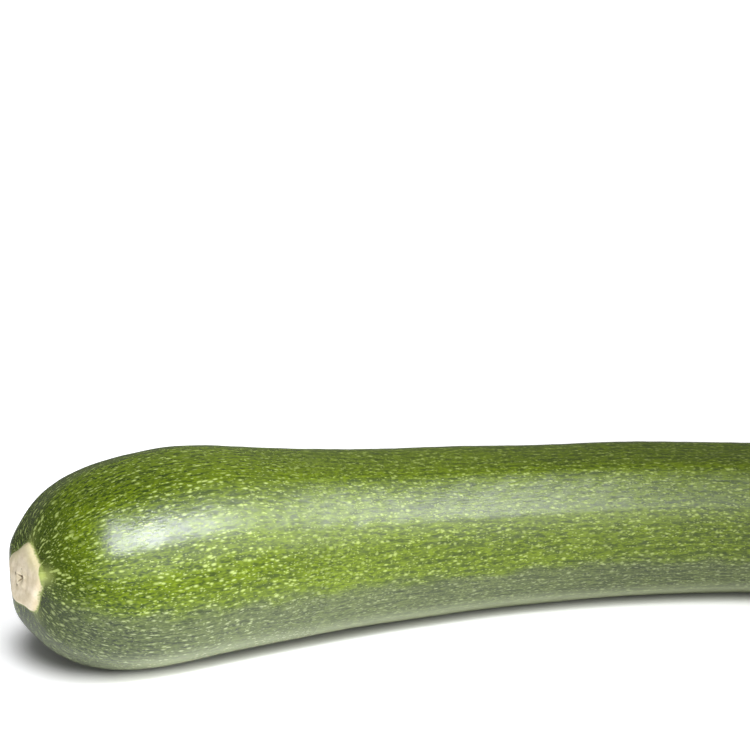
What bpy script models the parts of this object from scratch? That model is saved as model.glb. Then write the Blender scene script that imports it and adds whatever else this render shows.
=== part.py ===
"""A zucchini with its stem stub, lying on its side as it rests on a table.

The origin is on the table under the middle of the fruit's footprint, +X runs from the blossom
end towards the stem, and +Z is up. Sizes are in metres and angles in degrees.
"""

import bmesh
import bpy
import numpy as np

# The fruit's outline: distances along its axis from the blossom scar, and radii
FRUIT_LENGTH = 0.222
BULB_AT = 0.038
BULB_RADIUS = 0.0251
NECK_RADIUS = 0.0169
TAPER_LENGTH = 0.052
TAPER_POWER = 1.5
SHOULDER_LENGTH = 0.024
SEAT_RADIUS = 0.0110
SEAT_STAR = 0.14

# How the two ends round over, as the powers of a changed ellipse: larger ones are blunter
BLOSSOM_ROUNDING = (2.8, 1.75)
SHOULDER_ROUNDING = (2.2, 1.8)

# The way the axis runs: it bends sideways, more towards the stem, and its blossom tip rises.
# This first heading puts the two ends on a line along X
BEND = 47.5
BEND_POWER = 2.0
HEADING_AT_SCAR = BEND / (BEND_POWER + 1)
TIP_RISE = 0.0016
TIP_REACH = 0.030

# Five strong and five weak ribs run the whole length. Angles run from the front up and over.
# Heights are shares of the radius
STRONG_RIBS = 5
RIBS = 2 * STRONG_RIBS
STRONG_RIB_AT = -13.0
RIB_HEIGHT = 0.018
STRONG_RIB_EXTRA = 0.014
RIB_CREST_WIDTH = 0.22
RIB_SHARE_AT_BULB = 0.6
RIB_SHARE_AT_NECK = 1.7

# The corky five-pointed plate that the flower leaves, with a pit in its middle. Its inner rings
# are shares of its edge
SCAR_RADIUS = 0.0076
SCAR_STAR = 0.20
SCAR_POINT_AT = 18.0
SCAR_DOME = 0.0005
SCAR_GROOVE = 0.0003
PIT_RADIUS = 0.0012
PIT_DEPTH = 0.0009
PIT_RIM = 1.7
PLATE_INNER = 0.55
PLATE_OUTER = 0.86
PLATE_GROOVE = 0.95

# The flat that a ripe fruit's own weight leaves along its underside
FOOT_DEPTH = 0.00045

# The stem stub: distances from the seat and radii, with five ridges and hollow flanks
STEM_GAP = 0.0003
STEM_INSET = 0.0002
STEM_LENGTH = 0.023
STEM_RADIUS = 0.0073
STEM_FLARE = 0.0028
STEM_FLARE_LENGTH = 0.0042
STEM_END_SWELL = 0.0007
STEM_RIDGE = 0.27
STEM_CREST_WIDTH = 0.6
STEM_TURN_UP = 9.0
STEM_TURN_SIDE = 5.0

# The stem's cut end: slanted, with a softened edge and its pith shrunk in
CUT_SLANT = 9.0
CUT_EDGE = 0.0005
CUT_EDGE_INSET = 0.10
CUT_HOLLOW = 0.0009
PITH_INSET = 0.45

# Mesh steps
FRUIT_SIDES = 60
FRUIT_RINGS = 50
STEM_SIDES = 40
STEM_RINGS = 14
AXIS_STEPS = 2001


def end_rounding(share, powers):
    """0 at an end and 1 where the rounding ends: an ellipse's quarter with its powers changed."""
    closing, opening = powers
    return (1 - (1 - np.clip(share, 0, 1)) ** closing) ** (1 / opening)


def body_radius(s):
    """Half the thickness without the two rounded ends: the bulb, then a taper that levels out."""
    past_bulb = np.maximum(0, s - BULB_AT) / TAPER_LENGTH
    return NECK_RADIUS + (BULB_RADIUS - NECK_RADIUS) / (1 + past_bulb**TAPER_POWER)


def crests(angle, count, first, width):
    """1/2 on each of count even crests round the section, and -1/2 midway between two of them."""
    swing = np.hypot(np.sin(np.radians(count / 2 * (angle - first))), width)
    return 0.5 - (swing - width) / (np.hypot(1, width) - width)


def ribbed_radius(s, angle):
    """Distance from the axis to the ribbed skin, without the two rounded ends.

    The ribs are shares of the radius, low on the bulb and growing towards the neck.
    """
    strength = RIB_SHARE_AT_BULB + (RIB_SHARE_AT_NECK - RIB_SHARE_AT_BULB) * s / FRUIT_LENGTH
    every = RIB_HEIGHT * crests(angle, RIBS, STRONG_RIB_AT, RIB_CREST_WIDTH)
    strong = STRONG_RIB_EXTRA * crests(angle, STRONG_RIBS, STRONG_RIB_AT, RIB_CREST_WIDTH)
    return body_radius(s) * (1 + strength * (every + strong))


def scar_radius(angle):
    """The edge of the scar, drawn out to five blunt points."""
    points = crests(angle, STRONG_RIBS, SCAR_POINT_AT, RIB_CREST_WIDTH)
    return SCAR_RADIUS * (1 + SCAR_STAR * points)


def seat_radius(angle):
    """The edge of the flat where the stem sits, drawn out a little at the stem's ridges."""
    points = crests(angle, STRONG_RIBS, STRONG_RIB_AT, STEM_CREST_WIDTH)
    return SEAT_RADIUS * (1 + SEAT_STAR * points)


def fruit_radius(s, angle):
    """Distance from the axis to the skin: from the scar's edge over the ribs to the seat's edge."""
    scar, seat = scar_radius(angle), seat_radius(angle)
    rounded = scar + (ribbed_radius(s, angle) - scar) * end_rounding(s / BULB_AT, BLOSSOM_ROUNDING)
    closing = end_rounding((FRUIT_LENGTH - s) / SHOULDER_LENGTH, SHOULDER_ROUNDING)
    return seat + (rounded - seat) * closing


def axis_frames(s):
    """Points on the fruit's axis at distances s, with unit vectors along it, to its front and up.

    The heading turns by BEND in all. The height is that of the section's lowest point, less the
    foot's depth, so that the underside lies on the table all along.
    """
    fine = np.linspace(0, FRUIT_LENGTH, AXIS_STEPS)
    heading = np.radians(HEADING_AT_SCAR - BEND * (fine / FRUIT_LENGTH) ** BEND_POWER)
    step = fine[1]
    x = np.concatenate([[0], np.cumsum(np.cos(heading[:-1]) * step)])
    y = np.concatenate([[0], np.cumsum(np.sin(heading[:-1]) * step)])
    below = section_angles(FRUIT_SIDES)[None, :]
    under = np.max(-np.sin(np.radians(below)) * ribbed_radius(fine[:, None], below), axis=1)
    tip = TIP_RISE * np.clip(1 - fine / TIP_REACH, 0, 1) ** 2
    path = np.stack([x, y, under + tip - FOOT_DEPTH], axis=1)
    tangent = np.gradient(path, fine, axis=0)
    at = np.stack([np.interp(s, fine, path[:, k]) for k in range(3)], axis=-1)
    along = np.stack([np.interp(s, fine, tangent[:, k]) for k in range(3)], axis=-1)
    along /= np.linalg.norm(along, axis=-1, keepdims=True)
    front = np.cross(along, [0, 0, 1])
    front /= np.linalg.norm(front, axis=-1, keepdims=True)
    return at, along, front, np.cross(front, along)


def rings_about(at, front, up, angle, radius):
    """One ring of points for each axis point: radius out from it at each angle, front to up."""
    c = np.cos(np.radians(angle))[None, :, None]
    d = np.sin(np.radians(angle))[None, :, None]
    return at[:, None] + radius[:, :, None] * (c * front[:, None] + d * up[:, None])


def section_angles(sides):
    """Angles round a section, with a point on every strong crest."""
    return STRONG_RIB_AT + np.arange(sides) * 360 / sides


def skin_over(rings, start, end):
    """A closed bmesh over the rings, from the middle point start to the middle point end."""
    bm = bmesh.new()
    loops = [[bm.verts.new(p) for p in ring] for ring in rings]
    first, last = bm.verts.new(start), bm.verts.new(end)
    sides = len(loops[0])
    for j in range(sides):
        k = (j + 1) % sides
        bm.faces.new((first, loops[0][k], loops[0][j]))
        bm.faces.new((last, loops[-1][j], loops[-1][k]))
        for a, b in zip(loops[:-1], loops[1:]):
            bm.faces.new((a[j], a[k], b[k], b[j]))
    bmesh.ops.recalc_face_normals(bm, faces=bm.faces)
    return bm


def to_object(bm, name, material, sharp_degrees):
    """A mesh object of the bmesh, smooth where faces meet gently."""
    mesh = bpy.data.meshes.new(name)
    bm.to_mesh(mesh)
    bm.free()
    mesh.shade_smooth()
    mesh.set_sharp_from_angle(angle=np.radians(sharp_degrees))
    mesh.materials.append(material)
    obj = bpy.data.objects.new(name, mesh)
    bpy.context.scene.collection.objects.link(obj)
    return obj


def plain_material(name, colour, roughness):
    """A Principled material of one colour."""
    material = bpy.data.materials.new(name)
    material.use_nodes = True
    shader = material.node_tree.nodes["Principled BSDF"]
    shader.inputs["Base Color"].default_value = (*colour, 1)
    shader.inputs["Roughness"].default_value = roughness
    shader.inputs["Metallic"].default_value = 0
    return material


def scar_rings(angle):
    """The scar plate's rings from its pit outwards, and the pit's bottom point."""
    at, along, front, up = axis_frames(np.zeros(1))
    edge = scar_radius(angle)
    pit_edge = np.full_like(angle, PIT_RADIUS)
    plate = [
        (pit_edge, PIT_DEPTH / 4),
        (pit_edge * PIT_RIM, -SCAR_DOME),
        (edge * PLATE_INNER, -SCAR_DOME),
        (edge * PLATE_OUTER, -SCAR_DOME / 2),
        (edge * PLATE_GROOVE, SCAR_GROOVE),
    ]
    rings = [
        rings_about(at + along * depth, front, up, angle, radius[None, :])[0]
        for radius, depth in plate
    ]
    return rings, (at + along * PIT_DEPTH)[0]


def make_fruit(material):
    """The fruit: a ribbed skin on the bent axis, closed by the scar plate and the stem's seat."""
    angle = section_angles(FRUIT_SIDES)
    turn = np.linspace(0, np.pi, FRUIT_RINGS)
    s = FRUIT_LENGTH * (1 - np.cos(turn)) / 2
    at, _, front, up = axis_frames(s)
    body = rings_about(at, front, up, angle, fruit_radius(s[:, None], angle[None, :]))
    plate, pit = scar_rings(angle)
    bm = skin_over([*plate, *body], pit, at[-1])
    cut = bmesh.ops.bisect_plane(
        bm,
        geom=[*bm.verts, *bm.edges, *bm.faces],
        plane_co=(0, 0, 0),
        plane_no=(0, 0, -1),
        clear_outer=True,
    )
    rim = [e for e in cut["geom_cut"] if isinstance(e, bmesh.types.BMEdge)]
    bmesh.ops.holes_fill(bm, edges=rim)
    return to_object(bm, "fruit", material, sharp_degrees=40)


def stem_axis(s):
    """Points and unit vectors like axis_frames, along the stem from its foot at s = 0.

    It leaves the seat squarely, then turns up and aside in proportion to the distance.
    """
    seat, along, front, up = (v[0] for v in axis_frames(np.array([FRUIT_LENGTH])))
    rise = np.radians(STEM_TURN_UP) * s / STEM_LENGTH
    swing = np.radians(STEM_TURN_SIDE) * s / STEM_LENGTH
    way = along + np.outer(np.tan(rise), up) + np.outer(np.tan(swing), front)
    way /= np.linalg.norm(way, axis=1, keepdims=True)
    steps = np.diff(s, prepend=0)
    at = seat + along * STEM_GAP + np.cumsum(way * steps[:, None], axis=0)
    to_front = np.cross(way, up)
    to_front /= np.linalg.norm(to_front, axis=1, keepdims=True)
    return at, way, to_front, np.cross(to_front, way)


def stem_radius(s, angle):
    """The stem's radius: a flared foot that fills the seat, a ridged shank and a slight end swell."""
    foot = np.exp(-s / STEM_FLARE_LENGTH)
    shank = STEM_RADIUS + STEM_END_SWELL * (s / STEM_LENGTH) ** 4
    ridges = STEM_RIDGE * crests(angle, STRONG_RIBS, STRONG_RIB_AT, STEM_CREST_WIDTH)
    flared = shank * (1 + ridges) + STEM_FLARE * foot
    return flared + (seat_radius(angle) - STEM_INSET - flared) * foot**3


def make_stem(material):
    """The stem stub, ridged in line with the strong ribs, its cut end hollowed round the pith."""
    angle = section_angles(STEM_SIDES)
    s = STEM_LENGTH * np.linspace(0, 1, STEM_RINGS) ** 1.4
    at, way, front, up = stem_axis(s)
    rings = rings_about(at, front, up, angle, stem_radius(s[:, None], angle[None, :]))
    slant = np.tan(np.radians(CUT_SLANT)) * np.einsum("jk,k->j", rings[-1] - at[-1], up[-1])
    share = (s / STEM_LENGTH) ** 3
    rings = rings + share[:, None, None] * slant[None, :, None] * way[:, None]
    middle = rings[-1].mean(axis=0)
    inward = middle - rings[-1]
    edge = rings[-1] + inward * CUT_EDGE_INSET + way[-1] * CUT_EDGE
    face = rings[-1] + inward * PITH_INSET + way[-1] * (CUT_EDGE - CUT_HOLLOW) / 2
    bm = skin_over([*rings, edge, face], at[0], middle - way[-1] * CUT_HOLLOW)
    return to_object(bm, "stem", material, sharp_degrees=50)


def centre_footprint(objects):
    """Moves the objects so that the origin is under the middle of their footprint box."""
    points = np.array([v.co for obj in objects for v in obj.data.vertices])
    middle = (points.min(axis=0) + points.max(axis=0)) / 2
    for obj in objects:
        obj.location = (-middle[0], -middle[1], 0)


def build():
    for obj in list(bpy.data.objects):
        bpy.data.objects.remove(obj)
    skin = plain_material("zucchini_skin", (0.11, 0.20, 0.03), roughness=0.35)
    rind = plain_material("stem_rind", (0.33, 0.42, 0.13), roughness=0.55)
    fruit = make_fruit(skin)
    stem = make_stem(rind)
    centre_footprint([fruit, stem])


build()
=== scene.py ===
import bpy
import numpy as np
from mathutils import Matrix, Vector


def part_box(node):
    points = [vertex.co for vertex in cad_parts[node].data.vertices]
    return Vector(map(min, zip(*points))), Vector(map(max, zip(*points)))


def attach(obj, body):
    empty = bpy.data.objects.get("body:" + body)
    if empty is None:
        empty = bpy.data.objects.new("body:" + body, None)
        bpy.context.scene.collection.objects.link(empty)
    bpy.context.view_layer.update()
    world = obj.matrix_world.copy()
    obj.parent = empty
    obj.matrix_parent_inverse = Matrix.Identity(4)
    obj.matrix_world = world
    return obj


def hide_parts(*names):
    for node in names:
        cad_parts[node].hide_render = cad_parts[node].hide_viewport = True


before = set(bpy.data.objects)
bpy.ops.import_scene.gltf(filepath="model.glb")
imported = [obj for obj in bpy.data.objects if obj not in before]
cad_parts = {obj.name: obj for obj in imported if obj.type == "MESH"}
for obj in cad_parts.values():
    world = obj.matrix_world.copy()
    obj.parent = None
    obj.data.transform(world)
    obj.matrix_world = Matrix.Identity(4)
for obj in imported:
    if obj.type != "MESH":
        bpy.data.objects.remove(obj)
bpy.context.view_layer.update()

fruit_low, fruit_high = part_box("fruit")

# The camera. The photograph was taken with a long lens from about a metre away and 17 degrees
# above the table. The blossom end is at the left edge and the stem end runs out at the right,
# so the camera looks at a point over the fruit, a little right of its bulb.
AZIMUTH, ELEVATION = np.radians(-16.24), np.radians(17.0)
CAMERA_DISTANCE = 1.0
LOOK_AT = np.array([fruit_low.x + 0.0869, fruit_low.y + 0.0262, 0.0646])
LENS, SENSOR = 207.2, 36.0

bpy.context.scene.view_settings.view_transform = "Standard"
backwards = np.array(
    [
        np.sin(AZIMUTH) * np.cos(ELEVATION),
        -np.cos(AZIMUTH) * np.cos(ELEVATION),
        np.sin(ELEVATION),
    ]
)
camera = bpy.data.objects.new("camera", bpy.data.cameras.new("camera"))
camera.data.lens, camera.data.sensor_width = LENS, SENSOR
camera.location = LOOK_AT + CAMERA_DISTANCE * backwards
camera.rotation_euler = (np.pi / 2 - ELEVATION, 0, AZIMUTH)
bpy.context.scene.collection.objects.link(camera)
bpy.context.scene.camera = camera


# The fruit. One whole zucchini, grown in one piece: a fat blossom end and a narrower neck on a
# bent axis, ten soft ribs along it, and a thin waxy skin with pale flecks in rows. Distances run
# along the axis from the blossom scar in metres, and angles from the front up in degrees.
FRUIT_LENGTH = 0.222
BULB_AT, BULB_RADIUS = 0.038, 0.0251
NECK_RADIUS, TAPER_LENGTH, TAPER_POWER = 0.0169, 0.052, 1.5
BLOSSOM_ROUNDING = (2.8, 1.75)
SHOULDER_LENGTH, SHOULDER_ROUNDING = 0.024, (2.2, 1.8)
BEND, BEND_POWER = 47.5, 2.0
TIP_RISE, TIP_REACH = 0.0016, 0.030
FOOT_DEPTH = 0.00045
STRONG_RIBS, STRONG_RIB_AT = 5, -13.0
RIB_HEIGHT, STRONG_RIB_EXTRA, RIB_CREST_WIDTH = 0.018, 0.014, 0.22
RIB_SHARE_AT_BULB, RIB_SHARE_AT_NECK = 0.6, 1.7
SCAR_RADIUS, SCAR_STAR, SCAR_POINT_AT = 0.0076, 0.20, 18.0
SCAR_DOME, SCAR_GROOVE = 0.0019, 0.00010
PIT_RADIUS, PIT_DEPTH, PIT_RIM = 0.0008, 0.0008, 0.00020
SEAT_RADIUS, SEAT_STAR, STEM_CREST_WIDTH = 0.0110, 0.14, 0.6
SWELL, SWELL_LENGTHS = 0.00010, (0.03, 0.09)
SKIN_RIPPLE, SKIN_RIPPLE_LENGTHS = 0.000022, (0.005, 0.014)
CORK_LUMPS, CORK_LENGTHS, SETTLING = 0.00007, (0.0015, 0.005), 0.012
AROUND, SKIN_RINGS, SCAR_RINGS = 240, 350, 44


def end_rounding(share, powers):
    """0 at an end and 1 where the rounding ends: (1 - (1 - share)^p) ^ (1/q)."""
    closing, opening = powers
    return (1 - (1 - np.clip(share, 0, 1)) ** closing) ** (1 / opening)


def crests(angle, count, first, width):
    """1/2 on each of count even crests round a section, -1/2 midway: a rounded |sine|."""
    swing = np.hypot(np.sin(np.radians(count / 2 * (angle - first))), width)
    return 0.5 - (swing - width) / (np.hypot(1, width) - width)


def ribbed_radius(s, angle):
    """The neck's radius plus the bulb's extra over 1 + (distance past it)^1.5, times the ribs."""
    past = np.maximum(0, s - BULB_AT) / TAPER_LENGTH
    body = NECK_RADIUS + (BULB_RADIUS - NECK_RADIUS) / (1 + past**TAPER_POWER)
    share = RIB_SHARE_AT_BULB + (RIB_SHARE_AT_NECK - RIB_SHARE_AT_BULB) * s / FRUIT_LENGTH
    every = RIB_HEIGHT * crests(angle, 2 * STRONG_RIBS, STRONG_RIB_AT, RIB_CREST_WIDTH)
    strong = STRONG_RIB_EXTRA * crests(angle, STRONG_RIBS, STRONG_RIB_AT, RIB_CREST_WIDTH)
    return body * (1 + share * (every + strong))


def scar_radius(angle):
    """The scar's edge: a circle drawn out to five blunt points."""
    star = crests(angle, STRONG_RIBS, SCAR_POINT_AT, RIB_CREST_WIDTH)
    return SCAR_RADIUS * (1 + SCAR_STAR * star)


def seat_radius(angle):
    """The edge of the flat that the stem grows from, drawn out at the stem's five ridges."""
    star = crests(angle, STRONG_RIBS, STRONG_RIB_AT, STEM_CREST_WIDTH)
    return SEAT_RADIUS * (1 + SEAT_STAR * star)


def skin_radius(s, angle):
    """The ribbed radius, rounded down to the scar's edge at one end and the seat's at the other."""
    scar, seat = scar_radius(angle), seat_radius(angle)
    rounded = scar + (ribbed_radius(s, angle) - scar) * end_rounding(s / BULB_AT, BLOSSOM_ROUNDING)
    closing = end_rounding((FRUIT_LENGTH - s) / SHOULDER_LENGTH, SHOULDER_ROUNDING)
    return seat + (rounded - seat) * closing


def waves(distance, angle, count, lengths, turns, seed):
    """A sum of count even cosines that run along, and a whole number of times round."""
    draw = np.random.default_rng(seed)
    total = 0.0
    for _ in range(count):
        along = 2 * np.pi * distance / draw.uniform(*lengths)
        about = draw.integers(*turns) * np.radians(angle) * draw.choice([-1, 1])
        total = total + np.cos(along + about + draw.uniform(0, 2 * np.pi))
    return total / np.sqrt(count)


def axis_frames(s):
    """Points on the bent axis at distances s, and the unit vectors along it, to its front and up.

    The heading is BEND / 3 less BEND times the share of the length squared. The height is that of
    the section's lowest point over the table, and the blossom tip rises by a parabola.
    """
    fine = np.linspace(0, FRUIT_LENGTH, 2001)
    heading = np.radians(BEND / (BEND_POWER + 1) - BEND * (fine / FRUIT_LENGTH) ** BEND_POWER)
    x, y = np.cumsum([np.cos(heading), np.sin(heading)], axis=1) * fine[1]
    around = STRONG_RIB_AT + np.arange(60)[None, :] * 6
    lowest = np.max(-np.sin(np.radians(around)) * ribbed_radius(fine[:, None], around), axis=1)
    tip = TIP_RISE * np.clip(1 - fine / TIP_REACH, 0, 1) ** 2
    path = np.stack([x, y, lowest + tip - FOOT_DEPTH], axis=1)
    tangent = np.gradient(path, fine, axis=0)
    at, along = (
        np.stack([np.interp(s, fine, curve[:, k]) for k in range(3)], axis=-1)
        for curve in (path, tangent)
    )
    along /= np.linalg.norm(along, axis=-1, keepdims=True)
    front = np.cross(along, [0, 0, 1])
    front /= np.linalg.norm(front, axis=-1, keepdims=True)
    return at, along, front, np.cross(front, along)


def rings_about(at, front, up, angle, radius):
    """Rows of points: each axis point plus radius times (front times cos angle, up times sin)."""
    cos, sin = np.cos(np.radians(angle))[:, None], np.sin(np.radians(angle))[:, None]
    return at[:, None] + radius[..., None] * (cos * front[:, None] + sin * up[:, None])


def closed_mesh(name, grid, start, end, attributes):
    """A mesh over rows that close on themselves, with a fan from one point at each end.

    Each attribute holds one value, or one vector, for every point and then for the two ends.
    """
    rows, around = grid.shape[:2]
    here = np.arange(rows * around).reshape(rows, around)
    there = np.roll(here, -1, axis=1)
    quads = np.stack([here[:-1], here[1:], there[1:], there[:-1]], axis=-1).reshape(-1, 4)
    first, last = np.full((2, around), [[rows * around], [rows * around + 1]])
    fans = np.concatenate(
        [np.stack([first, here[0], there[0]], -1), np.stack([last, there[-1], here[-1]], -1)]
    )
    mesh = bpy.data.meshes.new(name)
    mesh.from_pydata([*grid.reshape(-1, 3), start, end], [], quads.tolist() + fans.tolist())
    mesh.shade_smooth()
    for label, values in attributes.items():
        kind, field = ("FLOAT_VECTOR", "vector") if values.ndim > 1 else ("FLOAT", "value")
        mesh.attributes.new(label, kind, "POINT").data.foreach_set(field, values.ravel())
    made = bpy.data.objects.new(name, mesh)
    bpy.context.scene.collection.objects.link(made)
    return made


def skin_distances(angle):
    """Axis distances of the skin's rings, even along the surface: ds and dr summed as a path."""
    fine = FRUIT_LENGTH * (1 - np.cos(np.linspace(0, np.pi, 4000))) / 2
    radius = skin_radius(fine[:, None], angle[None, ::12]).mean(axis=1)
    path = np.concatenate([[0], np.cumsum(np.hypot(np.diff(fine), np.diff(radius)))])
    return np.interp(np.linspace(0, path[-1], SKIN_RINGS), path, fine)


angle = STRONG_RIB_AT + np.arange(AROUND) * 360 / AROUND
s = skin_distances(angle)
at, along, front, up = axis_frames(s)
radius = skin_radius(s[:, None], angle[None, :])
steps = np.hypot(np.diff(s)[:, None], np.diff(radius, axis=0))
over_skin = np.concatenate([np.zeros((1, AROUND)), np.cumsum(steps, axis=0)])

# The skin is a little uneven: long shallow swells and a finer ripple that breaks up the gloss,
# both fading out at the scar and at the stem.
settled = end_rounding(over_skin / SETTLING, (2, 1))
settled = settled * end_rounding((over_skin[-1] - over_skin) / SETTLING, (2, 1))
swell = SWELL * waves(over_skin, angle, 14, SWELL_LENGTHS, (1, 6), seed=3)
ripple = SKIN_RIPPLE * waves(over_skin, angle, 40, SKIN_RIPPLE_LENGTHS, (6, 26), seed=11)
skin_rows = rings_about(at, front, up, angle, radius + settled * (swell + ripple))

# The scar is a low corky dome inside its five-pointed edge, sunk a little at the edge and with a
# pit in the middle, where the style stood. Groove, pit and lip are bell curves exp(-x^2).
share = np.linspace(0, 1, SCAR_RINGS + 1)[1:-1, None]
edge = scar_radius(angle)
scar_reach = share * (SCAR_RADIUS + (edge - SCAR_RADIUS) * share**2)
dome = -SCAR_DOME * end_rounding(1 - share, (5, 2))
groove = SCAR_GROOVE * np.exp(-(((share - 0.95) / 0.03) ** 2))
pit = PIT_DEPTH * np.exp(-((scar_reach / PIT_RADIUS) ** 2))
lip = -PIT_RIM * np.exp(-(((scar_reach - 2.2 * PIT_RADIUS) / (0.8 * PIT_RADIUS)) ** 2))
lumps = CORK_LUMPS * waves(scar_reach, angle, 24, CORK_LENGTHS, (1, 7), seed=5)
depth = dome + groove + pit + lip + lumps * end_rounding(share / 0.5, (2, 1))
scar_rows = rings_about(at[:1], front[:1], up[:1], angle, scar_reach) + depth[..., None] * along[0]
pit_bottom = at[0] + (PIT_DEPTH - SCAR_DOME) * along[0]

# Each point keeps its place on the straightened fruit, in millimetres: how far over the surface
# it is from the scar's edge (less than 0 on the scar), and round a circle nearly as wide as the
# bulb. It also keeps how far it is from the stem, how near in angle to a point of the scar, with
# one point greener than the rest, and how far down: 0 above the two low ribs, 1 below them and
# up to 2 at the middle of the belly.
BELLY_AT, BELLY_WIDTH, BELLY_SOFT = -85.0, 144.0, 16.0
BELLY_MIDDLE_WIDTH, BELLY_MIDDLE_SOFT = 100.0, 25.0
POINT_WIDTH, GREENER_WIDTH, OTHER_POINTS = 13.0, 36.0, 0.25
grid = np.concatenate([scar_rows, skin_rows])
scar_distance = np.concatenate([scar_reach - edge, over_skin])
own = np.concatenate([scar_reach, radius]).mean(axis=1)
circle = (0.3 * BULB_RADIUS + 0.7 * own)[:, None]
turned = np.stack([np.cos(np.radians(angle)), np.sin(np.radians(angle))], axis=-1)
skin_place = np.concatenate([scar_distance[..., None], circle[..., None] * turned], axis=-1)
stem_distance = over_skin[-1] - scar_distance
skin_end = over_skin[-1].mean()

off_point = np.abs((angle - SCAR_POINT_AT + 36) % 72 - 36)
greener = np.exp(-(((angle - SCAR_POINT_AT) / GREENER_WIDTH) ** 2))
greener = OTHER_POINTS + (1 - OTHER_POINTS) * greener
point_share = greener * np.exp(-((off_point / POINT_WIDTH) ** 2))
off_belly = np.abs((angle - BELLY_AT + 180) % 360 - 180)
down = np.clip((BELLY_WIDTH / 2 - off_belly) / BELLY_SOFT + 0.5, 0, 1)
down = down + np.clip((BELLY_MIDDLE_WIDTH / 2 - off_belly) / BELLY_MIDDLE_SOFT, 0, 1)

# The skin's shoulder and its two sides stand where the CAD's do.
skin_high, skin_low = skin_rows.max(axis=(0, 1)), skin_rows.min(axis=(0, 1))
middle_y = (fruit_low.y + fruit_high.y) / 2
shift = np.array([fruit_high.x - skin_high[0], middle_y - (skin_low[1] + skin_high[1]) / 2, 0])
grid = grid + shift
grid[..., 2] = np.maximum(grid[..., 2], 0)
fruit = closed_mesh(
    "zucchini_fruit",
    grid,
    pit_bottom + shift,
    at[-1] + shift,
    {
        "place": 1000
        * np.append(skin_place, [-SCAR_RADIUS, 0, 0, skin_end + SEAT_RADIUS, 0, 0]).reshape(-1, 3),
        "to_stem": 1000 * np.append(stem_distance, [skin_end + SCAR_RADIUS, -SEAT_RADIUS]),
        "by_point": np.append(np.tile(point_share, len(grid)), [0, 0]),
        "under": np.append(np.tile(down, len(grid)), [0, 0]),
    },
)
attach(fruit, "root")
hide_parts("fruit")


class Field:
    """A number, colour or vector that varies over a surface: one output of a material's nodes.

    Python's arithmetic on numbers adds Math nodes.
    """

    def __init__(self, tree, output=None):
        self.tree, self.output = tree, output

    def node(self, kind, settings, inputs, output=0):
        """Adds a node, sets its settings, then sets or links its inputs, and gives an output."""
        made = self.tree.nodes.new("ShaderNode" + kind)
        for name, value in settings.items():
            setattr(made, name, value)
        for name, value in inputs.items():
            if isinstance(value, Field):
                self.tree.links.new(value.output, made.inputs[name])
            else:
                made.inputs[name].default_value = value
        return Field(self.tree, made.outputs[output])

    def math(self, operation, first, second=0.0):
        return self.node("Math", {"operation": operation}, {0: first, 1: second})

    def __add__(self, other):
        return self.math("ADD", self, other)

    def __radd__(self, other):
        return self.math("ADD", other, self)

    def __sub__(self, other):
        return self.math("SUBTRACT", self, other)

    def __rsub__(self, other):
        return self.math("SUBTRACT", other, self)

    def __mul__(self, other):
        return self.math("MULTIPLY", self, other)

    def __rmul__(self, other):
        return self.math("MULTIPLY", other, self)

    def __truediv__(self, other):
        return self.math("DIVIDE", self, other)

    def larger(self, other):
        return self.math("MAXIMUM", self, other)

    def kept(self, name, output="Fac"):
        """What the mesh keeps at its points under a name."""
        return self.node("Attribute", {"attribute_name": name}, {}, output)

    def parts(self):
        """The three parts of a vector."""
        split = self.node("SeparateXYZ", {}, {"Vector": self}).output.node.outputs
        return [Field(self.tree, part) for part in split]

    def rise(self, low, high):
        """0 at low and before, 1 at high and past it, and a smooth step between them."""
        return self.node(
            "MapRange",
            {"interpolation_type": "SMOOTHSTEP"},
            {"Value": self, "From Min": low, "From Max": high},
        )

    def scaled(self, by):
        """A vector with its three parts multiplied."""
        return self.node("VectorMath", {"operation": "MULTIPLY"}, {0: self, 1: by})

    def shaken(self, size, by):
        """A vector moved about by up to half of by, with a noise whose features are size across."""
        finer = self.scaled((1 / size,) * 3)
        moved = self.node("TexNoise", {}, {"Vector": finer, "Scale": 1.0, "Detail": 1.0}, "Color")
        moved = self.node("VectorMath", {"operation": "SUBTRACT"}, {0: moved, 1: (0.5, 0.5, 0.5)})
        return self.node("VectorMath", {"operation": "ADD"}, {0: self, 1: moved.scaled((by,) * 3)})

    def noise(self, detail=3.0, roughness=0.5):
        """Smooth noise about 0.5 in the space of this vector, with features about 1 across."""
        return self.node(
            "TexNoise", {}, {"Vector": self, "Scale": 1.0, "Detail": detail, "Roughness": roughness}
        )

    def spots(self, small, large, soft, jitter=1.0, space="3D"):
        """1 in spots of random size, one to a cell of this vector's space, and 0 between."""
        cells = self.node(
            "TexVoronoi",
            {"voronoi_dimensions": space},
            {"Vector": self, "Scale": 1.0, "Randomness": jitter},
            "Distance",
        )
        colour = Field(self.tree, cells.output.node.outputs["Color"])
        chance = self.node("SeparateColor", {}, {"Color": colour})
        return (chance * (large - small) + small - cells).rise(0.0, soft)

    def blend(self, under, over):
        """The colour under where this number is 0, and the colour over where it is 1."""
        return self.node("Mix", {"data_type": "RGBA"}, {0: self, 6: under, 7: over}, 2)

    def bumped(self, strength, distance):
        """The surface's direction, tilted by this number as a height."""
        inputs = {"Strength": strength, "Distance": distance, "Height": self}
        return self.node("Bump", {}, inputs, "Normal")


def srgb(red, green, blue):
    """A colour from its display values of 0 to 255, as a linear colour with alpha."""
    shown = np.array([red, green, blue]) / 255
    linear = np.where(shown > 0.04045, ((shown + 0.055) / 1.055) ** 2.4, shown / 12.92)
    return (*linear.tolist(), 1.0)


def new_finish(name):
    """A new material, its Principled shader, and a Field to start its nodes from."""
    material = bpy.data.materials.new(name)
    material.use_nodes = True
    return material, material.node_tree.nodes["Principled BSDF"], Field(material.node_tree)


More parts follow.
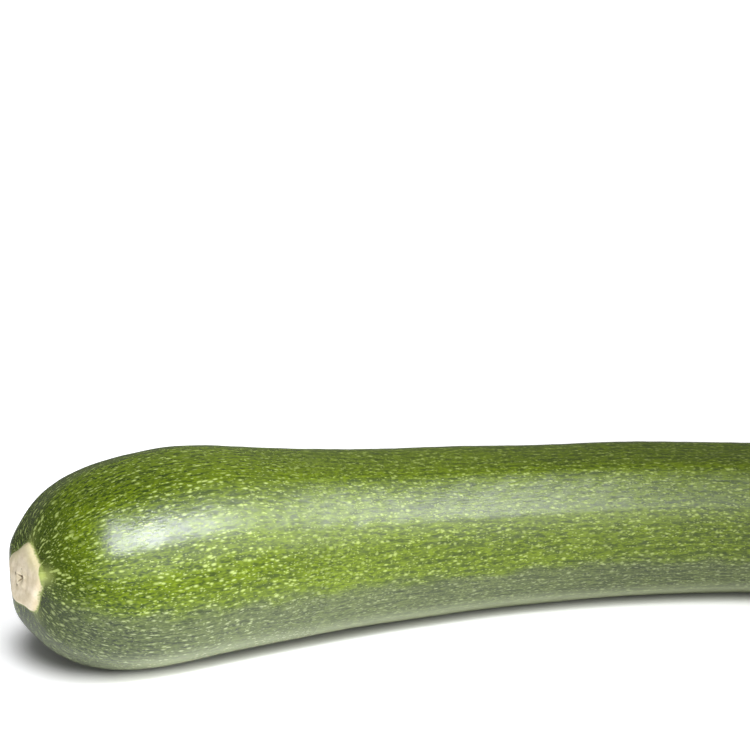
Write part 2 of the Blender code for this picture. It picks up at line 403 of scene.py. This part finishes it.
def dress(shader, **inputs):
    """Sets or links the shader's inputs; an underscore stands for a space."""
    for name, value in inputs.items():
        socket = shader.inputs[name.replace("_", " ")]
        if isinstance(value, Field):
            value.tree.links.new(value.output, socket)
        else:
            socket.default_value = value


# The skin's look: green from below, brighter in patches, with pale flecks in rows and a thin wax
# that gives the gloss. Colours are as they show on a screen, and lengths in millimetres over the
# skin. Each set of fleck rows has its rows round the fruit, its pitch along a row, and its
# largest fleck as a share of a row's width and of the pitch.
DARK_GREEN, BRIGHT_GREEN = srgb(42, 60, 0), srgb(106, 127, 2)
SCAR_END_GREEN_AND_SHADE, FAR_GREEN, STEM_GREEN = srgb(42, 58, 2), srgb(150, 168, 60), srgb(140, 160, 60)
FLECK_PALE, BELLY_PAINTED_REFLECTION, RIM_PALE = srgb(181, 198, 108), srgb(180, 188, 150), srgb(168, 180, 98)
SCAR_ROWS, BULB_ROWS, NECK_ROWS = (54, 3.6, 0.28), (84, 4.6, 0.225), (72, 3.9, 0.22)
FLECK_LAYERS, FLECK_SOFT, FLECK_JITTER = (0.0, 37.3, 71.7, 94.5), 0.16, 0.7
SKIN_ROUGHNESS, NECK_ROUGHER, FLECK_ROUGHER, CORK_ROUGHER = 0.235, 0.06, 0.06, 0.5
SKIN_SPECULAR, SKIN_BUMP, SKIN_BUMP_HEIGHT = 0.66, 0.6, 0.00012

skin, skin_shader, skin_nodes = new_finish("zucchini_skin")
place = skin_nodes.kept("place", "Vector")
from_scar, across, over = place.parts()
to_stem, by_point = skin_nodes.kept("to_stem"), skin_nodes.kept("by_point")
below = skin_nodes.kept("under")
blotch = place.scaled((0.12, 0.30, 0.30)).noise(detail=3.0)
ground_spot_and_painted_sheen = (below + (blotch - 0.5) * 1.4).rise(0.1, 0.9)
belly = below.rise(1.0, 2.0)
near_scar, on_neck = from_scar.rise(15.0, 8.0), from_scar.rise(55.0, 90.0)

# The rows run from the scar to the stem and wander a little, by up to a row's width.
about = skin_nodes.math("ARCTAN2", across, over)
wander = (place.scaled((0.06, 0.16, 0.16)).noise(detail=1.0) - 0.5) * 2.0


def fleck_rows(count, pitch, largest):
    """Short dashes in rows: flat spots in cells one pitch by one row, in layers set apart."""
    row = about * (count / (2 * np.pi)) + wander
    dashes_so_far = 0.0
    for step in FLECK_LAYERS:
        cells = {"X": from_scar / pitch + step, "Y": row + round(step)}
        layer = skin_nodes.node("CombineXYZ", {}, cells)
        layer = layer.spots(0.0, largest, FLECK_SOFT, FLECK_JITTER, space="2D")
        dashes_so_far = layer.larger(dashes_so_far)
    return dashes_so_far


def between_rows(count):
    """1 midway between two rows and -1 along them: cos(count times the angle, and wander)."""
    return skin_nodes.math("COSINE", about * count + wander * (2 * np.pi))


rowed = fleck_rows(*BULB_ROWS) * (1 - near_scar) * (1 - on_neck)
rowed = rowed + fleck_rows(*SCAR_ROWS) * near_scar + fleck_rows(*NECK_ROWS) * on_neck
between = between_rows(BULB_ROWS[0]) * (1 - on_neck) + between_rows(NECK_ROWS[0]) * on_neck

# The green itself, from large patches to dashes a few tenths of a millimetre wide.
patches = place.scaled((0.04, 0.10, 0.10)).noise(detail=2.0)
mottle = place.scaled((0.30, 0.60, 0.60)).noise(detail=2.0)
dashes = place.scaled((0.70, 2.4, 2.4)).noise(detail=1.5)
between = between * (1 - near_scar) * mottle.rise(0.62, 0.38)
tone = patches * 0.22 + mottle * 0.20 + dashes * 0.75 - between * 0.085
green = tone.rise(0.38, 0.82).blend(DARK_GREEN, BRIGHT_GREEN)
# Near the scar the green darkens, partly the fruit's own tone and partly painted shade on the
# blossom end.
by_scar = from_scar.rise(16.0, 4.0)
green = (by_scar * 0.6).blend(green, SCAR_END_GREEN_AND_SHADE)
green = (from_scar.rise(20.0, 60.0) * 0.07).blend(green, FAR_GREEN)

# The flecks: the rows, and smaller ones between them that follow no row.
small_flecks = place.shaken(1.2, 0.5).scaled((1.10, 2.60, 2.60)).spots(-0.05, 0.50, soft=0.26)
flecks = (rowed * (0.88 + near_scar * 0.12)).larger(small_flecks * 0.72)
flecks = flecks * (0.65 + mottle.rise(0.30, 0.62) * 0.35)
flecks = flecks * (1 - on_neck * 0.10 - ground_spot_and_painted_sheen * near_scar * 0.35)
green = (flecks * 0.79).blend(green, FLECK_PALE)

# Below the low rib on each side the skin is duller, greyer and darker: partly a ground spot where
# it lay, partly painted reflection of the pale floor and painted shade. The top of the fat end is
# darker as well, which is painted shade.
green = skin_nodes.node(
    "HueSaturation",
    {},
    {
        "Saturation": 1 - ground_spot_and_painted_sheen * (0.27 - by_scar * 0.18) - belly * 0.08,
        "Value": 1 - ground_spot_and_painted_sheen * (0.22 - by_scar * 0.02) - over.rise(14.0, 23.0) * 0.18,
        "Color": green,
    },
)
# Painted reflection: a pale grey along the belly, where the pale floor would mirror in the skin.
green = (belly * from_scar.rise(16.0, 36.0) * 0.54).blend(green, BELLY_PAINTED_REFLECTION)
green = (to_stem.rise(9.0, 0.5) * 0.7).blend(green, STEM_GREEN)
rim = from_scar.rise(0.8, 0.1) * 0.55
points = by_point * from_scar.rise(4.6, -0.6)
green = rim.larger(points).blend(green, RIM_PALE)

# The scar's cork: tan, greenish towards its upper edge, and in the middle a pale lip round a
# brown pit with dark specks. The lip's paleness is partly a painted highlight, and the pit's
# darkening towards its bottom partly painted shade.
CORK_DARK, CORK_LIGHT = srgb(206, 190, 156), srgb(228, 215, 188)
CORK_GREENISH, CORK_EDGE, CORK_SPECK = srgb(186, 180, 118), srgb(216, 206, 140), srgb(96, 78, 46)
PIT_LIP_PALE_AND_HIGHLIGHT, PIT_SIDE_BROWN_AND_SHADE, PIT_BOTTOM_BROWN_AND_SHADE = srgb(238, 228, 196), srgb(134, 112, 76), srgb(110, 90, 58)
position = skin_nodes.node("TexCoord", {}, {}, "Object")
cork = position.scaled((420, 420, 420)).noise(detail=4.0)
fine_cork = position.scaled((1900, 1900, 1900)).noise(detail=2.0)
from_middle = from_scar + SCAR_RADIUS * 1000
inside = from_scar + by_point * 0.9 + (fine_cork - 0.5) * 0.5 + (cork - 0.5) * 0.8
tan = (cork * 0.7 + fine_cork * 0.3).rise(0.34, 0.66).blend(CORK_DARK, CORK_LIGHT)
tan = (from_scar.rise(-4.0, -0.5) * over.rise(0.0, 9.0) * 0.45).blend(tan, CORK_GREENISH)
pit_lip_and_highlight = from_middle.rise(0.7, 1.2) * from_middle.rise(1.9, 1.4)
tan = (pit_lip_and_highlight * (0.3 + fine_cork * 0.6)).blend(tan, PIT_LIP_PALE_AND_HIGHLIGHT)
tan = (from_middle.rise(1.3, 0.5) * (0.2 + cork * 0.6)).blend(tan, PIT_SIDE_BROWN_AND_SHADE)
specks = position.scaled((760, 760, 760)).spots(-0.20, 0.42, soft=0.12)
tan = (specks * from_middle.rise(2.8, 1.6) * 0.85).blend(tan, CORK_SPECK)
tan = (from_middle.rise(0.55, 0.15) * 0.6).blend(tan, PIT_BOTTOM_BROWN_AND_SHADE)
tan = (inside.rise(-0.4, -0.1) * 0.25).blend(tan, CORK_EDGE)
on_scar = inside.rise(0.12, -0.16)

relief = flecks * 0.25 + mottle * 0.5 + dashes * 0.4
relief = relief * (1 - on_scar) + on_scar * (cork + fine_cork * 0.6)
rougher = on_neck * NECK_ROUGHER + flecks * FLECK_ROUGHER + on_scar * CORK_ROUGHER
dress(
    skin_shader,
    Base_Color=on_scar.blend(green, tan),
    Roughness=SKIN_ROUGHNESS + rougher,
    Specular_IOR_Level=SKIN_SPECULAR,
    Normal=relief.bumped(SKIN_BUMP, SKIN_BUMP_HEIGHT),
)
fruit.data.materials.append(skin)


# The stem. The stub of the ridged, woody stalk that the fruit was cut from: a fibrous pale green
# rind round a paler pith, cut across on a slant. It grew out of the fruit's shoulder, so its foot
# is sunk in the fruit and a thin lip closes over the join.
STEM_GAP, STEM_INSET = 0.0003, 0.0002
STEM_LENGTH, STEM_RADIUS, STEM_END_SWELL = 0.023, 0.0073, 0.0007
STEM_FLARE, STEM_FLARE_LENGTH, STEM_RIDGE = 0.0028, 0.0042, 0.27
STEM_TURN_UP, STEM_TURN_SIDE = 9.0, 5.0
CUT_SLANT, CUT_EDGE, CUT_EDGE_INSET, CUT_HOLLOW = 9.0, 0.0005, 0.10, 0.0009
FOOT_SUNK, LIP, LIP_LENGTH = 0.0006, 0.00062, 0.0005
RIND_FIBRE, RIND_RIPPLE = 0.00010, 0.00008
BUNDLES, BUNDLE_RING, BUNDLE_RELIEF = 15, 0.74, 0.00014
STEM_AROUND, STEM_RINGS, CUT_RINGS = 300, 120, 30
PITH_GRAIN, BUNDLE_RING_WIDTH, HOLLOW_POWER = 0.00006, 0.07, 0.6


def stem_axis(s):
    """The stem's axis points and frames: straight on from the fruit's, then turning evenly."""
    seat, along, front, up = (v[0] for v in axis_frames(np.array([FRUIT_LENGTH])))
    rise, swing = (np.radians(turn) * s / STEM_LENGTH for turn in (STEM_TURN_UP, STEM_TURN_SIDE))
    way = along + np.outer(np.tan(rise), up) + np.outer(np.tan(swing), front)
    way /= np.linalg.norm(way, axis=1, keepdims=True)
    steps = np.diff(s, prepend=0)
    at = seat + along * STEM_GAP + np.cumsum(way * steps[:, None], axis=0)
    to_front = np.cross(way, up)
    to_front /= np.linalg.norm(to_front, axis=1, keepdims=True)
    return at, way, to_front, np.cross(to_front, way)


def stem_radius(s, angle):
    """A ridged shank, flared by exp(-s / flare length) into the seat's edge, with the lip on it."""
    foot = np.exp(-np.maximum(s, 0) / STEM_FLARE_LENGTH)
    shank = STEM_RADIUS + STEM_END_SWELL * (s / STEM_LENGTH) ** 4
    ridges = STEM_RIDGE * crests(angle, STRONG_RIBS, STRONG_RIB_AT, STEM_CREST_WIDTH)
    flared = shank * (1 + ridges) + STEM_FLARE * foot
    blended = flared + (seat_radius(angle) - STEM_INSET - flared) * foot**3
    return blended + LIP * np.exp(-np.maximum(s + STEM_GAP, 0) / LIP_LENGTH)


rind_angle = STRONG_RIB_AT + np.arange(STEM_AROUND) * 360 / STEM_AROUND
up_stem = STEM_LENGTH * np.linspace(0, 1, STEM_RINGS)[1:] ** 1.3
up_stem = np.concatenate([[-FOOT_SUNK, -STEM_GAP, 0], up_stem])
stem_at, way, to_front, to_top = stem_axis(up_stem)
fibres = waves(up_stem[:, None], rind_angle[None], 30, (0.03, 0.12), (12, 46), seed=21)
rind_ripple = waves(up_stem[:, None], rind_angle[None], 16, (0.004, 0.011), (1, 9), seed=22)
unevenness = RIND_FIBRE * fibres + RIND_RIPPLE * rind_ripple
rind_radius = stem_radius(up_stem[:, None], rind_angle[None])
rind_radius = rind_radius + end_rounding(up_stem / 0.002, (2, 1))[:, None] * unevenness
side = rings_about(stem_at, to_front, to_top, rind_angle, rind_radius)
slant = np.tan(np.radians(CUT_SLANT)) * ((side[-1] - stem_at[-1]) @ to_top[-1])
slanted = (np.maximum(up_stem, 0)[:, None] / STEM_LENGTH) ** 3 * slant
side = side + slanted[..., None] * way[:, None]

# The cut end: the rind's edge is rounded over and stands a little proud, and the pith inside it
# has dried into a shallow dish with a ring of bundles round it.
inward = np.linspace(0, 1, CUT_RINGS + 1)[1:-1] ** 1.3
centre = side[-1].mean(axis=0)
edge_height = CUT_EDGE * end_rounding(inward / CUT_EDGE_INSET, (2, 2))
dish = np.clip((inward - CUT_EDGE_INSET) / (1 - CUT_EDGE_INSET), 0, 1) ** HOLLOW_POWER
dish = (CUT_EDGE + CUT_HOLLOW) * dish
bundle_rise = np.exp(-(((1 - inward - BUNDLE_RING) / BUNDLE_RING_WIDTH) ** 2))[:, None]
knobs = BUNDLE_RELIEF * bundle_rise * (1 + np.cos(np.radians(BUNDLES * rind_angle)))
torn = waves(inward[:, None] * STEM_RADIUS, rind_angle[None], 24, (0.0008, 0.004), (3, 24), seed=23)
torn = PITH_GRAIN * torn * end_rounding((1 - inward) / 0.3, (2, 1))[:, None]
height = (edge_height - dish)[:, None] + knobs + torn
face = side[-1] + inward[:, None, None] * (centre - side[-1]) + height[..., None] * way[-1]

# Each point keeps its place on the stem in millimetres, along it and round a circle, how far in
# it is on the cut, and how near to a ridge's crest.
stem_grid = np.concatenate([side, face]) + shift
rind_turned = np.stack([np.cos(np.radians(rind_angle)), np.sin(np.radians(rind_angle))], axis=-1)
rind_circle = STEM_RADIUS * rind_turned
up_side = np.broadcast_to(up_stem[:, None, None], (*side.shape[:2], 1))
up_face = np.full((*face.shape[:2], 1), STEM_LENGTH)
round_side = np.broadcast_to(rind_circle, (*side.shape[:2], 2))
round_face = (1 - inward)[:, None, None] * rind_circle
rind_place = np.concatenate([up_side, round_side], axis=-1)
face_place = np.concatenate([up_face, round_face], axis=-1)
stem_place = np.append(
    np.concatenate([rind_place, face_place]), [-FOOT_SUNK, 0, 0, STEM_LENGTH, 0, 0]
).reshape(-1, 3)
cut_share = np.repeat(np.append(np.zeros(len(side)), inward), STEM_AROUND)
crest = crests(rind_angle, STRONG_RIBS, STRONG_RIB_AT, STEM_CREST_WIDTH)
stem = closed_mesh(
    "zucchini_stem",
    stem_grid,
    stem_at[0] + shift,
    centre - CUT_HOLLOW * way[-1] + shift,
    {
        "place": stem_place * 1000,
        "cut": np.append(cut_share, [0, 1]),
        "ridge": np.append(np.tile(crest, len(stem_grid)), [0, 0]),
    },
)
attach(stem, "root")
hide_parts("stem")

# The rind is streaked lengthwise, paler on its ridges and browned where it has dried by the cut.
# The pith is paler, with dark bundles in a ring and a browned middle.
RIND_DARK, RIND_PALE = srgb(96, 122, 34), srgb(176, 188, 104)
RIND_DRIED, RIND_NICK = srgb(176, 152, 98), srgb(120, 96, 48)
PITH_DARK, PITH_PALE = srgb(178, 172, 112), srgb(214, 208, 156)
BUNDLE_GREEN, PITH_BROWN = srgb(120, 128, 52), srgb(150, 136, 84)
RIND_ROUGHNESS, CUT_ROUGHER, DRIED_ROUGHER = 0.52, 0.3, 0.15
RIND_BUMP, RIND_BUMP_HEIGHT = 0.7, 0.0002

rind, rind_shader, rind_nodes = new_finish("stem_rind")
on_rind = rind_nodes.kept("place", "Vector")
in_stem = rind_nodes.node("TexCoord", {}, {}, "Object")
along_stem = on_rind.parts()[0]
cut, ridge = rind_nodes.kept("cut"), rind_nodes.kept("ridge")

fibre = on_rind.scaled((0.18, 3.2, 3.2)).noise(detail=4.0)
cloud = on_rind.scaled((0.30, 0.45, 0.45)).noise(detail=3.0)
rind_colour = (fibre + cloud * 0.6 + ridge * 0.5).rise(0.55, 1.25).blend(RIND_DARK, RIND_PALE)
dried = (along_stem + cloud * 6.0).rise(21.5, 26.0)
rind_colour = (dried * 0.8).blend(rind_colour, RIND_DRIED)
nicks = on_rind.scaled((0.35, 0.9, 0.9)).spots(-0.35, 0.22, soft=0.10)
rind_colour = (nicks * 0.6).blend(rind_colour, RIND_NICK)

pith_grain = in_stem.scaled((1100, 1100, 1100)).noise(detail=4.0)
pith = pith_grain.rise(0.3, 0.7).blend(PITH_DARK, PITH_PALE)
bundle = in_stem.scaled((700, 700, 700)).spots(0.1, 0.42, soft=0.2)
bundle = cut.rise(0.12, 0.22) * cut.rise(0.40, 0.30) * bundle
pith = (bundle * 0.6).blend(pith, BUNDLE_GREEN)
pith = (cut.rise(0.86, 1.0) * 0.5).blend(pith, PITH_BROWN)
on_cut = cut.rise(0.05, 0.12)
stem_relief = (fibre * 1.2 + cloud * 0.4) * (1 - on_cut) + pith_grain * on_cut * 1.4
dress(
    rind_shader,
    Base_Color=on_cut.blend(rind_colour, pith),
    Roughness=RIND_ROUGHNESS + on_cut * CUT_ROUGHER + dried * DRIED_ROUGHER,
    Normal=stem_relief.bumped(RIND_BUMP, RIND_BUMP_HEIGHT),
)
stem.data.materials.append(rind)


# The floor: a plain pale studio table that the fruit lies on. It glows a little, painted light
# that keeps it white, but not by the fruit: there the missing glow and a darkened white paint the
# contact shadow. Its gap is the distance to a line on it beside the fruit's axis, which comes
# closer to the axis along the neck.
REACH, FLOOR_LINES = 4.0, 241
GLOW_MOVED, GLOW_WIDTH = [0.0263, 0.0230], 0.13
GLOW_LESS = (0.030, 0.180), (1.0, 0.55)
GLOW_NEAR, GLOW_NEAR_STEP = 0.60, (0.0184, 0.0289)
GLOW_FAR, GLOW_FAR_STEP = 0.9, (0.07, 0.43)
PAINTED_SHADOW, PAINTED_SHADOW_STEP = 0.6, (0.026, 0.012)
MIRRORED, MIRRORED_STEP = 0.55, (0.08, 0.15)
FLOOR_WHITE, FLOOR_PAINTED_SHADE = (0.9, 0.9, 0.9, 1), (0.15, 0.15, 0.15, 1)
NO_GLOW, FULL_GLOW = (0, 0, 0, 1), (1, 1, 1, 1)
axis_steps = np.linspace(0, FRUIT_LENGTH, 60)
moved = np.interp(axis_steps, *GLOW_LESS)[:, None] * GLOW_MOVED
line = axis_frames(axis_steps)[0][:, :2] + shift[:2] + moved
half_width = GLOW_WIDTH * skin_radius(axis_steps[:, None], rind_angle[None, ::10]).mean(axis=1)
lines = REACH * np.linspace(-1, 1, FLOOR_LINES) ** 3
x, y = np.meshgrid(lines, lines, indexing="ij")
to_line = np.hypot(x[..., None] - line[:, 0], y[..., None] - line[:, 1]) - half_width
here = np.arange(x.size).reshape(x.shape)
corners = [here[:-1, :-1], here[1:, :-1], here[1:, 1:], here[:-1, 1:]]
quads = np.stack(corners, axis=-1).reshape(-1, 4)
floor_mesh = bpy.data.meshes.new("floor")
floor_points = np.stack([x, y, 0 * x], axis=-1).reshape(-1, 3)
floor_mesh.from_pydata(floor_points.tolist(), [], quads.tolist())
floor_gap = floor_mesh.attributes.new("gap", "FLOAT", "POINT")
floor_gap.data.foreach_set("value", to_line.min(axis=-1).ravel())
floor = bpy.data.objects.new("floor", floor_mesh)
floor.location = (0, 0, -0.0001)
bpy.context.scene.collection.objects.link(floor)

# The glow and the floor's own white are dimmed in what the skin's gloss mirrors of them.
white, floor_shader, floor_nodes = new_finish("studio_white")
gap = floor_nodes.kept("gap")
in_gloss = floor_nodes.node("LightPath", {}, {}, "Is Glossy Ray")
mirrored = in_gloss * (MIRRORED + gap.rise(*MIRRORED_STEP) * (1 - MIRRORED))
# Painted light and shadow: the glow rises with the gap, so the floor is dark close beside the
# fruit.
far_glow = gap.rise(*GLOW_FAR_STEP) * (GLOW_FAR - GLOW_NEAR)
glow = (gap.rise(*GLOW_NEAR_STEP) * GLOW_NEAR + far_glow).blend(NO_GLOW, FULL_GLOW)
# Painted shadow: the floor's white is darkened close beside the fruit.
painted_shadow = gap.rise(*PAINTED_SHADOW_STEP) * PAINTED_SHADOW
dress(
    floor_shader,
    Base_Color=mirrored.larger(painted_shadow).blend(FLOOR_WHITE, FLOOR_PAINTED_SHADE),
    Roughness=0.9,
    Specular_IOR_Level=0.0,
    Emission_Color=mirrored.blend(glow, NO_GLOW),
    Emission_Strength=1.0,
)
floor_mesh.materials.append(white)

# The light: soft boxes in front and to the right, above the fruit. Each has an azimuth and an
# elevation in degrees, a width and a height in metres, a radiance, and its grid's spread, which
# is narrow where the light should fall off along the neck.
BOXES_AIM = np.array([-0.09, -0.02, 0.03])
BOX_DISTANCE, BOX_COLOUR = 0.70, (0.96, 0.985, 1.07)
SOFT_BOXES = [
    (-19, 58, 0.20, 0.30, 8.0, 26),
    (-6, 52, 0.18, 0.28, 15.5, 26),
    (9, 51, 0.16, 0.32, 16.0, 22),
    (20, 50, 0.16, 0.33, 26.0, 17),
    (31, 48, 0.16, 0.30, 27.0, 16),
    (43, 45, 0.17, 0.24, 19.0, 17),
    (56, 41, 0.18, 0.18, 11.0, 26),
    (70, 38, 0.18, 0.15, 6.0, 26),
]


def soft_box(name, azimuth, elevation, width, height, radiance, spread):
    """A rectangular light with a grid in front, that faces the bulb.

    Its power is radiance, pi and area, less what the grid gathers: 1 - half spread / its tangent.
    """
    az, el, half = np.radians([azimuth, elevation, spread / 2])
    direction = np.array([np.sin(az) * np.cos(el), -np.cos(az) * np.cos(el), np.sin(el)])
    light = bpy.data.lights.new(name, "AREA")
    light.shape, light.size, light.size_y = "RECTANGLE", width, height
    light.color, light.spread = BOX_COLOUR, 2 * half
    light.energy = radiance * np.pi * width * height * (1 - half / np.tan(half))
    made = bpy.data.objects.new(name, light)
    made.location = BOXES_AIM + BOX_DISTANCE * direction
    made.rotation_euler = (np.pi / 2 - el, 0, az)
    bpy.context.scene.collection.objects.link(made)


for number, settings in enumerate(SOFT_BOXES):
    soft_box(f"box_{number}", *settings)

# The room: pale and plain, dim behind the fruit and bright at its front right.
ROOM_BRIGHT, ROOM_DIM, ROOM_SEEN = 2.4, 0.18, 2.0
ROOM_TOWARDS, ROOM_STEP = (0.62, -0.77, -0.08), (0.1, 1.0)
world = bpy.data.worlds.new("studio")
bpy.context.scene.world = world
world.use_nodes = True
background = world.node_tree.nodes["Background"]
room = Field(world.node_tree)
direction = room.node("TexCoord", {}, {}, "Generated")
towards = {0: direction, 1: ROOM_TOWARDS}
facing = room.node("VectorMath", {"operation": "DOT_PRODUCT"}, towards, "Value")
lit = facing.rise(*ROOM_STEP) * (ROOM_BRIGHT - ROOM_DIM) + ROOM_DIM
seen = room.node("LightPath", {}, {}, "Is Camera Ray") * ROOM_SEEN
dress(background, Color=(1, 1, 1, 1), Strength=lit + seen)
